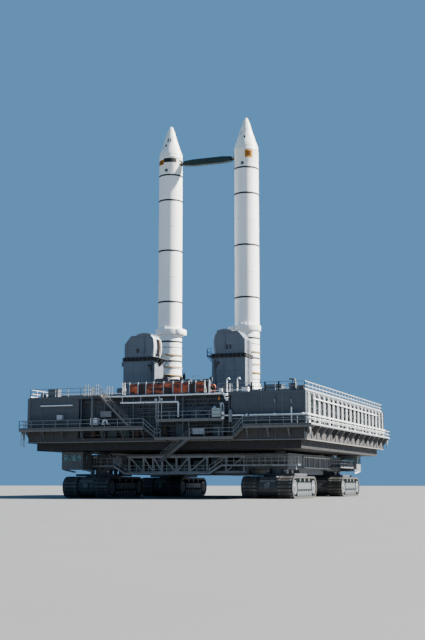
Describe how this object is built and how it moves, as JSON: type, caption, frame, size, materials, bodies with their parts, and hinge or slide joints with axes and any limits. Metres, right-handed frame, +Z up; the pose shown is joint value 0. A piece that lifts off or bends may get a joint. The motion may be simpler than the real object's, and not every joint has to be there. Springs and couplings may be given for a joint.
{
  "type": "solid rocket booster pair on launch platform and crawler, 1:2 scale model",
  "caption": "Solid rocket boosters tied at the nose, standing over exhaust wells on a launch platform with service masts, carried by a tracked transporter with steering trucks.",
  "frame": {"origin": "on the ground, under the middle of the platform and carrier", "axes": "+Z up, towards the boosters' noses; +X along the line through both boosters; +Y away from the service masts"},
  "size_m": [21.6256, 25.4356, 29.401],
  "materials": {
    "booster_white": "satin white paint with weathered streaks and thin black bands",
    "nozzle_black": "charred dark heat shield",
    "platform_paint": "weathered blue-grey paint, plated and streaked",
    "mast_paint": "weathered dark blue-grey paint",
    "walkway_paint": "galvanised and pale grey painted steel",
    "carrier_paint": "weathered grey paint",
    "truck_steel": "dirty dark grey paint",
    "belt_steel": "dusty cast steel, worn bright at the edges",
    "rusty_steel": "brown stained steel",
    "beam_green": "dark green paint",
    "guard_orange": "faded orange paint",
    "glass": "greenish clear glass"
  },
  "bodies": {
    "root": {"carrier_chassis": "carrier_paint", "carrier_truss_near": "carrier_paint", "carrier_truss_far": "carrier_paint", "cab_near_shell": "carrier_paint", "cab_far_shell": "carrier_paint", "platform_hull": "platform_paint", "walkway_near": "walkway_paint", "walkway_far": "walkway_paint", "walkway_left": "walkway_paint", "walkway_right": "walkway_paint", "deck_guard": "guard_orange", "mast_left_housing": "mast_paint", "mast_left_carrier": "rusty_steel", "mast_left_gallery": "walkway_paint", "mast_right_housing": "mast_paint", "mast_right_carrier": "rusty_steel", "mast_right_gallery": "walkway_paint", "booster_left_aft_skirt": "booster_white", "booster_left_aft_segment": "booster_white", "booster_left_aft_middle_segment": "booster_white", "booster_left_forward_middle_segment": "booster_white", "booster_left_forward_segment": "booster_white", "booster_left_attach_ring": "booster_white", "booster_left_systems_tunnel": "booster_white", "booster_left_forward_skirt": "booster_white", "booster_left_frustum": "booster_white", "booster_left_nose_cap": "booster_white", "booster_right_aft_skirt": "booster_white", "booster_right_aft_segment": "booster_white", "booster_right_aft_middle_segment": "booster_white", "booster_right_forward_middle_segment": "booster_white", "booster_right_forward_segment": "booster_white", "booster_right_attach_ring": "booster_white", "booster_right_systems_tunnel": "booster_white", "booster_right_forward_skirt": "booster_white", "booster_right_frustum": "booster_white", "booster_right_nose_cap": "booster_white", "support_beam_left_far": "truck_steel", "support_beam_left_near": "truck_steel", "support_beam_right_far": "truck_steel", "support_beam_right_near": "truck_steel", "nose_tie_beam": "beam_green"},
    "truck_near_left": {"truck_near_left_frame": "truck_steel", "truck_near_left_outer_belt": "belt_steel", "truck_near_left_inner_belt": "belt_steel"},
    "truck_near_right": {"truck_near_right_frame": "truck_steel", "truck_near_right_outer_belt": "belt_steel", "truck_near_right_inner_belt": "belt_steel"},
    "truck_far_left": {"truck_far_left_frame": "truck_steel", "truck_far_left_outer_belt": "belt_steel", "truck_far_left_inner_belt": "belt_steel"},
    "truck_far_right": {"truck_far_right_frame": "truck_steel", "truck_far_right_outer_belt": "belt_steel", "truck_far_right_inner_belt": "belt_steel"},
    "cab_near_door": {"cab_near_door": "carrier_paint"},
    "cab_far_door": {"cab_far_door": "carrier_paint"},
    "mast_left_bonnet": {"mast_left_bonnet": "mast_paint"},
    "mast_right_bonnet": {"mast_right_bonnet": "mast_paint"},
    "nozzle_left": {"booster_left_nozzle": "nozzle_black"},
    "nozzle_right": {"booster_right_nozzle": "nozzle_black"}
  },
  "joints": [
    {"name": "truck_near_left_steer", "type": "hinge", "parent": "root", "child": "truck_near_left", "pos_m": [-6.85, -6.85, 1.71], "axis": [0, 0, 1], "range_deg": [-12, 12]},
    {"name": "truck_near_right_steer", "type": "hinge", "parent": "root", "child": "truck_near_right", "pos_m": [6.85, -6.85, 1.71], "axis": [0, 0, 1], "range_deg": [-12, 12]},
    {"name": "truck_far_left_steer", "type": "hinge", "parent": "root", "child": "truck_far_left", "pos_m": [-6.85, 6.85, 1.71], "axis": [0, 0, 1], "range_deg": [-12, 12]},
    {"name": "truck_far_right_steer", "type": "hinge", "parent": "root", "child": "truck_far_right", "pos_m": [6.85, 6.85, 1.71], "axis": [0, 0, 1], "range_deg": [-12, 12]},
    {"name": "cab_near_door_hinge", "type": "hinge", "parent": "root", "child": "cab_near_door", "pos_m": [-7.115, -8.93, 2.7], "axis": [0, 0, 1], "range_deg": [0, 100]},
    {"name": "cab_far_door_hinge", "type": "hinge", "parent": "root", "child": "cab_far_door", "pos_m": [7.115, 8.93, 2.7], "axis": [0, 0, 1], "range_deg": [0, 100]},
    {"name": "mast_left_bonnet_hinge", "type": "hinge", "parent": "root", "child": "mast_left_bonnet", "pos_m": [-3.15, -7.35, 10.68], "axis": [0, 1, 0], "range_deg": [0, 70]},
    {"name": "mast_right_bonnet_hinge", "type": "hinge", "parent": "root", "child": "mast_right_bonnet", "pos_m": [3.15, -7.35, 10.68], "axis": [0, -1, 0], "range_deg": [0, 70]},
    {"name": "nozzle_left_gimbal", "type": "hinge", "parent": "root", "child": "nozzle_left", "pos_m": [-3.18, -3.05, 8.405], "axis": [0, 1, 0], "range_deg": [-8, 8]},
    {"name": "nozzle_right_gimbal", "type": "hinge", "parent": "root", "child": "nozzle_right", "pos_m": [3.18, -3.05, 8.405], "axis": [0, 1, 0], "range_deg": [-8, 8]}
  ]
}
